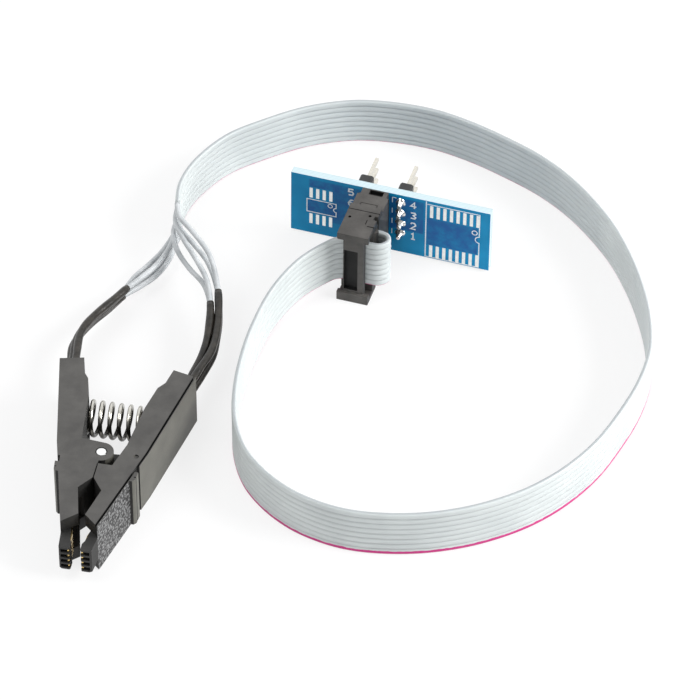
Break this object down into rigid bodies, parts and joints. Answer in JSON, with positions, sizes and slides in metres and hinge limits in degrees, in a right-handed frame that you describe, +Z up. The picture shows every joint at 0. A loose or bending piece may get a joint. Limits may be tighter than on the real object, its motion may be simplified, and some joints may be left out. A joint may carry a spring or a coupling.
{
  "type": "ic test clip",
  "caption": "Spring test clip with toothed jaws for a small-outline chip, joined by a looped flat grey cable and crimped socket to a blue adapter board with rear pins.",
  "frame": {"origin": "middle of the clip's footprint, on the face it lies on; the cable, socket and adapter board are left out of it", "axes": "+Z up, along the hinge pin; +Y from the jaws to the handles; +X to the right-hand handle seen from above with the jaws at the bottom"},
  "size_m": [0.1044, 0.1212, 0.0168],
  "materials": {
    "arm_plastic": "moulded, fine matt, pebbled on the front grips",
    "pin_steel": "ground",
    "spring_steel": "nickel plated",
    "contact_gold": "gold plated",
    "wire_grey": "smooth insulation",
    "wire_marked": "smooth insulation with a thin red line, marking the first wire",
    "sleeve_black": "shrunk tube",
    "ribbon_grey": "smooth insulation, first wire marked red",
    "socket_plastic": "moulded",
    "board_blue": "blue solder mask on glass-epoxy board",
    "header_plastic": "moulded",
    "pin_tinned": "tinned"
  },
  "bodies": {
    "left_handle": {"left_arm": "arm_plastic", "hinge_pin": "pin_steel", "spring": "spring_steel", "contact_1": "contact_gold", "contact_2": "contact_gold", "contact_3": "contact_gold", "contact_4": "contact_gold", "wire_1": "wire_marked", "wire_2": "wire_grey", "wire_3": "wire_grey", "wire_4": "wire_grey", "wire_5": "wire_grey", "wire_6": "wire_grey", "wire_7": "wire_grey", "wire_8": "wire_grey", "sleeve_1": "sleeve_black", "sleeve_2": "sleeve_black", "sleeve_3": "sleeve_black", "sleeve_4": "sleeve_black", "sleeve_5": "sleeve_black", "sleeve_6": "sleeve_black", "sleeve_7": "sleeve_black", "sleeve_8": "sleeve_black", "ribbon_cable": "ribbon_grey", "socket_housing": "socket_plastic", "socket_cover": "socket_plastic", "strain_relief": "socket_plastic", "socket_contacts": "contact_gold"},
    "right_handle": {"right_arm": "arm_plastic", "contact_5": "contact_gold", "contact_6": "contact_gold", "contact_7": "contact_gold", "contact_8": "contact_gold"},
    "adapter": {"adapter_board": "board_blue", "header_base": "header_plastic", "header_pins": "contact_gold", "left_row_base": "header_plastic", "left_row_pins": "pin_tinned", "right_row_base": "header_plastic", "right_row_pins": "pin_tinned"}
  },
  "joints": [
    {"name": "jaw", "type": "hinge", "parent": "left_handle", "child": "right_handle", "pos_m": [0, -0.0004, 0.0056], "axis": [0, 0, 1], "range_deg": [0, 24], "stiffness_Nm_per_rad": 0.12, "springref_deg": -28.65, "deforming": ["spring", "wire_5", "wire_6", "wire_7", "wire_8", "sleeve_5", "sleeve_6", "sleeve_7", "sleeve_8"]},
    {"name": "board_unplug", "type": "slide", "parent": "left_handle", "child": "adapter", "axis": [0.1045, 0.9939, -0.0349], "range_m": [0, 0.0075]}
  ]
}
